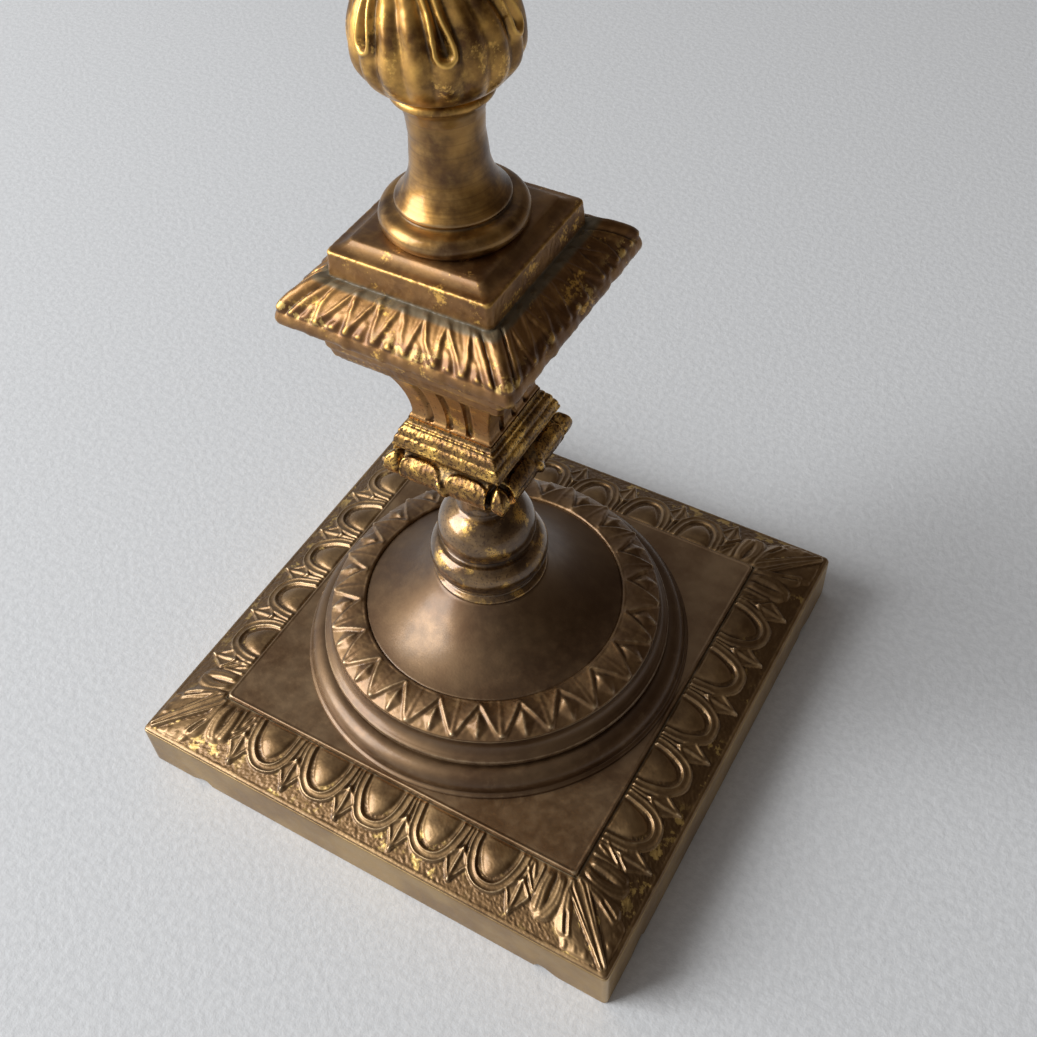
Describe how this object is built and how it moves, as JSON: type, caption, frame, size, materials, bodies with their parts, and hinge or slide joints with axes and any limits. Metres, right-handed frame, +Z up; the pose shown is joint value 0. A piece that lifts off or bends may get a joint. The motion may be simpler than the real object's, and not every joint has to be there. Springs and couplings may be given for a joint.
{
  "type": "candlestick",
  "caption": "Brass candlestick with a square ornamented base, turned and cast stem, candle socket and lift-out drip pan.",
  "frame": {"origin": "centre of the face the base stands on", "axes": "+Z up along the stem; +X and +Y along the sides of the square base"},
  "size_m": [0.11, 0.11, 0.239],
  "materials": {
    "aged_brass": "satin, brown patina in the hollows, rubbed brighter on raised ornament",
    "dark_brass": "satin turned surface with a dark brown patina",
    "worn_brass": "semi-gloss, dark spots over polished brass",
    "worn_gilt": "worn gilding over brown brass, pitted",
    "steel": "dull zinc plate"
  },
  "bodies": {
    "candlestick": {"base_plinth": "aged_brass", "base_dome": "dark_brass", "stem_collar": "worn_brass", "lower_block": "worn_gilt", "fluted_shaft": "worn_gilt", "upper_plate": "aged_brass", "stem_neck": "dark_brass", "neck_ring": "worn_gilt", "leaf_bulb": "worn_gilt", "upper_knop": "dark_brass", "candle_socket": "aged_brass", "tie_rod": "steel", "tie_washer": "steel", "tie_nut": "steel"},
    "drip_pan": {"drip_pan": "aged_brass"}
  },
  "joints": [
    {"name": "drip_pan_lift", "type": "slide", "parent": "candlestick", "child": "drip_pan", "axis": [0, 0, 1], "range_m": [0, 0.03]}
  ]
}
